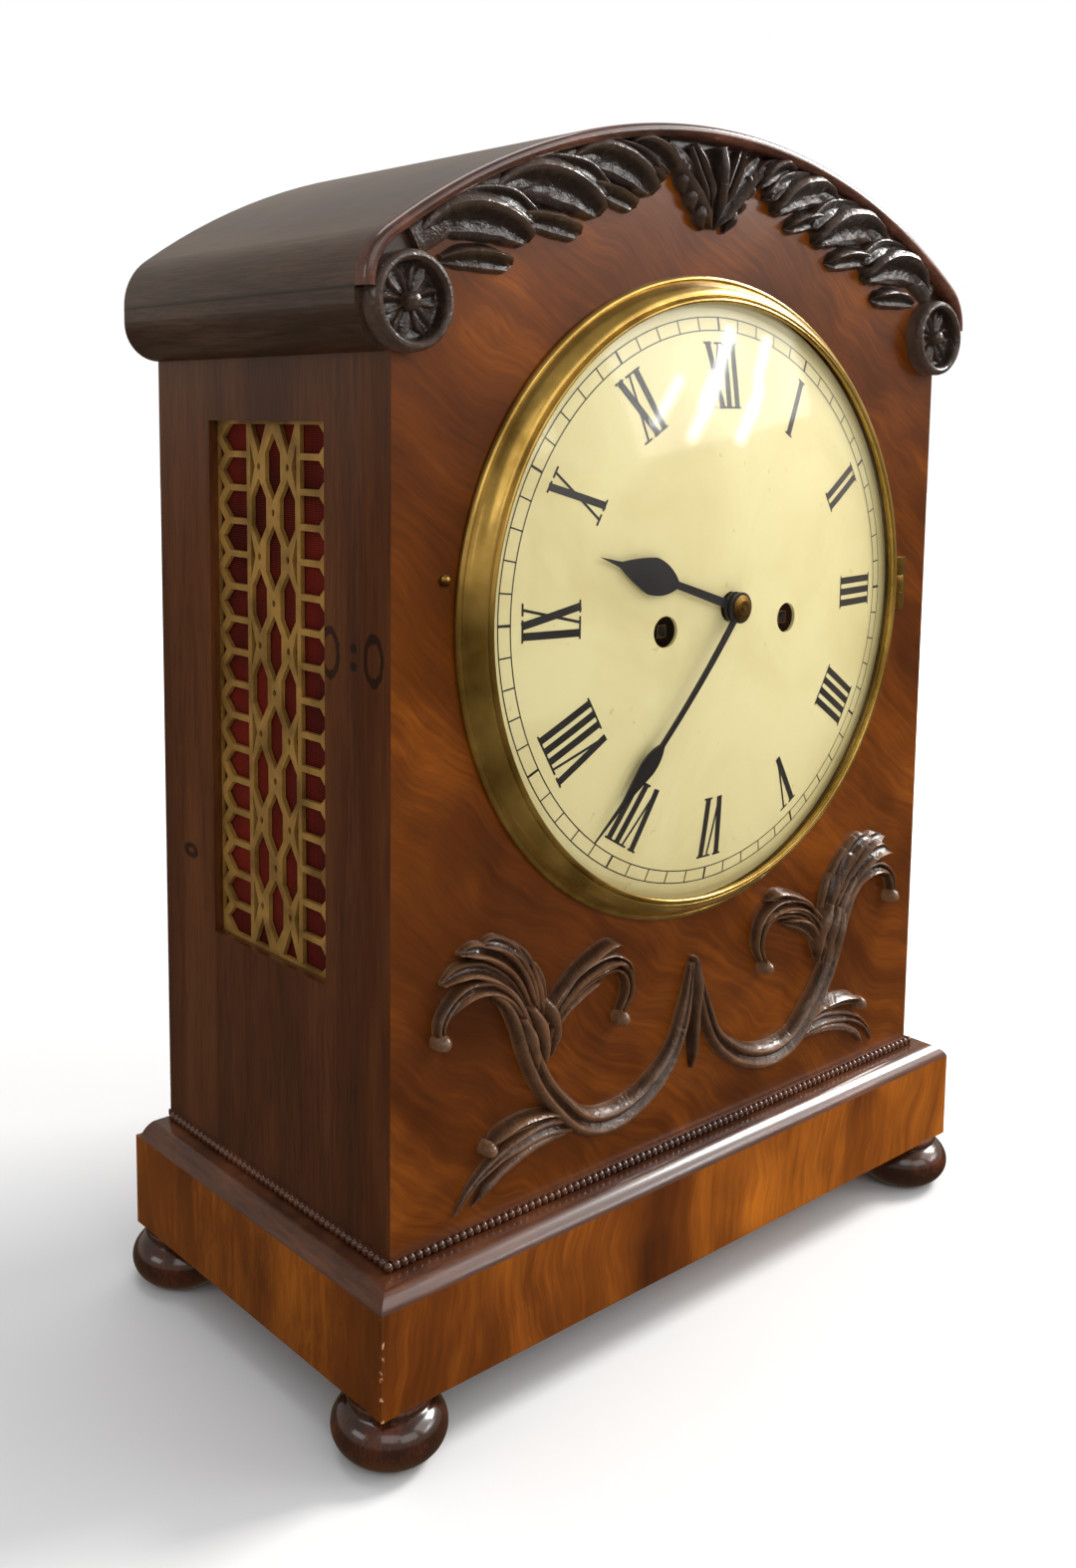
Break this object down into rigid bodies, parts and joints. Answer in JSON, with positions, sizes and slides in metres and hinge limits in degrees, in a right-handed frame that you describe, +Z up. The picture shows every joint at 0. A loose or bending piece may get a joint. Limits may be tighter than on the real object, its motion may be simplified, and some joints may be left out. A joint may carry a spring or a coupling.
{
  "type": "bracket clock",
  "caption": "Arched mahogany bracket clock with a round convex dial under a hinged bezel, pierced side frets, leaf carvings, bun feet and a glazed rear door over a fusee movement.",
  "frame": {"origin": "on the surface that the feet stand on, under the middle of the bounding box", "axes": "+Z up, the dial faces -Y, +X to the right as the dial is read"},
  "size_m": [0.3196, 0.1724, 0.429],
  "materials": {
    "roof_wood": "polished dark mahogany",
    "fillet_wood": "polished reddish mahogany",
    "front_veneer": "french-polished flame mahogany veneer",
    "side_wood": "polished mahogany, straight grain",
    "plinth_veneer": "french-polished mahogany veneer",
    "moulding_wood": "polished mahogany",
    "foot_wood": "turned and polished, dark",
    "carved_wood": "carved and polished, very dark",
    "scroll_wood": "carved and polished",
    "inner_wood": "plain mahogany, oiled",
    "fret_brass": "old lacquered sheet",
    "fret_cloth": "dark woven silk",
    "dial_paint": "cream paint, satin",
    "bezel_brass": "cast and polished, toned",
    "fitting_brass": "polished",
    "clear_glass": "clear, polished",
    "blued_steel": "blued, nearly black",
    "plate_brass": "grained",
    "wheel_brass": "polished",
    "steel": "polished",
    "bell_metal": "turned bell metal",
    "gut": "twisted gut"
  },
  "bodies": {
    "case": {"roof_shell": "roof_wood", "hood_mouldings": "roof_wood", "arch_fillet": "fillet_wood", "front_panel": "front_veneer", "side_panel_left": "side_wood", "side_panel_right": "side_wood", "plinth": "plinth_veneer", "plinth_ovolo": "moulding_wood", "bead_moulding": "moulding_wood", "bun_feet": "foot_wood", "arch_carvings": "carved_wood", "rosettes": "carved_wood", "scroll_carving": "scroll_wood", "case_floor": "inner_wood", "seat_board": "inner_wood", "back_arch_board": "inner_wood", "side_fret_left": "fret_brass", "side_fret_right": "fret_brass", "fret_cloths": "fret_cloth", "dial": "dial_paint", "bezel_fittings": "fitting_brass", "door_hinges_fixed": "fitting_brass", "dial_feet": "fitting_brass", "front_plate": "plate_brass", "back_plate": "plate_brass", "plate_pillars": "plate_brass", "back_cock": "plate_brass", "bell_stand": "steel", "bell": "bell_metal", "fusee_lines": "gut"},
    "bezel": {"bezel": "bezel_brass", "bezel_glass": "clear_glass"},
    "rear_door": {"rear_door_frame": "inner_wood", "rear_door_glass": "clear_glass", "rear_door_knob": "fitting_brass", "door_hinges_moving": "fitting_brass"},
    "centre_arbor": {"centre_wheel": "wheel_brass", "cannon_wheel": "wheel_brass", "minute_hand": "blued_steel", "hand_collet": "fitting_brass"},
    "minute_work": {"minute_wheel": "wheel_brass"},
    "hour_work": {"hour_wheel": "wheel_brass", "hour_hand": "blued_steel"},
    "going_fusee_arbor": {"going_fusee": "wheel_brass"},
    "going_barrel_arbor": {"going_barrel": "wheel_brass"},
    "third_arbor": {"third_wheel": "wheel_brass"},
    "escape_arbor": {"escape_wheel": "wheel_brass"},
    "pendulum": {"pallet_arbor": "steel", "crutch": "steel", "pendulum_rod": "steel", "pendulum_bob": "wheel_brass", "rating_nut": "wheel_brass"},
    "pin_arbor": {"pin_wheel": "wheel_brass"},
    "strike_fusee_arbor": {"strike_fusee": "wheel_brass"},
    "strike_barrel_arbor": {"strike_barrel": "wheel_brass"},
    "gathering_arbor": {"gathering_wheel": "wheel_brass"},
    "warning_arbor": {"warning_wheel": "wheel_brass"},
    "fly_arbor": {"fly": "wheel_brass"},
    "hammer": {"hammer": "steel"}
  },
  "joints": [
    {"name": "bezel_hinge", "type": "hinge", "parent": "case", "child": "bezel", "pos_m": [0.1181, -0.06585, 0.2635], "axis": [0, 0, 1], "range_deg": [0, 110]},
    {"name": "rear_door_hinge", "type": "hinge", "parent": "case", "child": "rear_door", "pos_m": [0.12775, 0.07895, 0.207], "axis": [0, 0, -1], "range_deg": [0, 110]},
    {"name": "centre_arbor_spin", "type": "hinge", "parent": "case", "child": "centre_arbor", "pos_m": [0, -0.01245, 0.2635], "axis": [0, 1, 0], "continuous": true},
    {"name": "minute_wheel_spin", "type": "hinge", "parent": "case", "child": "minute_work", "pos_m": [0.01414, -0.01245, 0.24936], "axis": [0, 1, 0], "continuous": true},
    {"name": "hour_wheel_spin", "type": "hinge", "parent": "case", "child": "hour_work", "pos_m": [0, -0.01245, 0.2635], "axis": [0, 1, 0], "continuous": true},
    {"name": "going_fusee_spin", "type": "hinge", "parent": "case", "child": "going_fusee_arbor", "pos_m": [0.0325, -0.01245, 0.257], "axis": [0, 1, 0], "continuous": true},
    {"name": "going_barrel_spin", "type": "hinge", "parent": "case", "child": "going_barrel_arbor", "pos_m": [0.036, -0.01245, 0.2045], "axis": [0, 1, 0], "continuous": true},
    {"name": "third_wheel_spin", "type": "hinge", "parent": "case", "child": "third_arbor", "pos_m": [0.008, -0.01245, 0.2834], "axis": [0, 1, 0], "continuous": true},
    {"name": "escape_wheel_spin", "type": "hinge", "parent": "case", "child": "escape_arbor", "pos_m": [0, -0.01245, 0.29953], "axis": [0, 1, 0], "continuous": true},
    {"name": "pendulum_swing", "type": "hinge", "parent": "case", "child": "pendulum", "pos_m": [0, -0.01245, 0.31933], "axis": [0, 1, 0], "range_deg": [-3, 3]},
    {"name": "pin_wheel_spin", "type": "hinge", "parent": "case", "child": "pin_arbor", "pos_m": [-0.03984, -0.01245, 0.28646], "axis": [0, 1, 0], "continuous": true},
    {"name": "strike_fusee_spin", "type": "hinge", "parent": "case", "child": "strike_fusee_arbor", "pos_m": [-0.0325, -0.01245, 0.257], "axis": [0, 1, 0], "continuous": true},
    {"name": "strike_barrel_spin", "type": "hinge", "parent": "case", "child": "strike_barrel_arbor", "pos_m": [-0.036, -0.01245, 0.2045], "axis": [0, 1, 0], "continuous": true},
    {"name": "gathering_wheel_spin", "type": "hinge", "parent": "case", "child": "gathering_arbor", "pos_m": [-0.0288, -0.01245, 0.29831], "axis": [0, 1, 0], "continuous": true},
    {"name": "warning_wheel_spin", "type": "hinge", "parent": "case", "child": "warning_arbor", "pos_m": [-0.01869, -0.01245, 0.30679], "axis": [0, 1, 0], "continuous": true},
    {"name": "fly_spin", "type": "hinge", "parent": "case", "child": "fly_arbor", "pos_m": [-0.02778, -0.01245, 0.31204], "axis": [0, 1, 0], "continuous": true},
    {"name": "hammer_lift", "type": "hinge", "parent": "case", "child": "hammer", "pos_m": [-0.058, -0.01245, 0.2935], "axis": [0, -1, 0], "range_deg": [0, 12], "stiffness_Nm_per_rad": 0.005, "springref_deg": -11.46}
  ],
  "couplings": [
    {"joint": "minute_wheel_spin", "follows": "centre_arbor_spin", "ratio": -1},
    {"joint": "hour_wheel_spin", "follows": "centre_arbor_spin", "ratio": 0.083333},
    {"joint": "going_fusee_spin", "follows": "centre_arbor_spin", "ratio": -0.083333},
    {"joint": "going_barrel_spin", "follows": "centre_arbor_spin", "ratio": -0.065957},
    {"joint": "third_wheel_spin", "follows": "centre_arbor_spin", "ratio": -12},
    {"joint": "escape_wheel_spin", "follows": "centre_arbor_spin", "ratio": 132},
    {"joint": "strike_fusee_spin", "follows": "pin_wheel_spin", "ratio": -0.1},
    {"joint": "strike_barrel_spin", "follows": "pin_wheel_spin", "ratio": -0.079149},
    {"joint": "gathering_wheel_spin", "follows": "pin_wheel_spin", "ratio": -8},
    {"joint": "warning_wheel_spin", "follows": "pin_wheel_spin", "ratio": 56},
    {"joint": "fly_spin", "follows": "pin_wheel_spin", "ratio": -336}
  ]
}
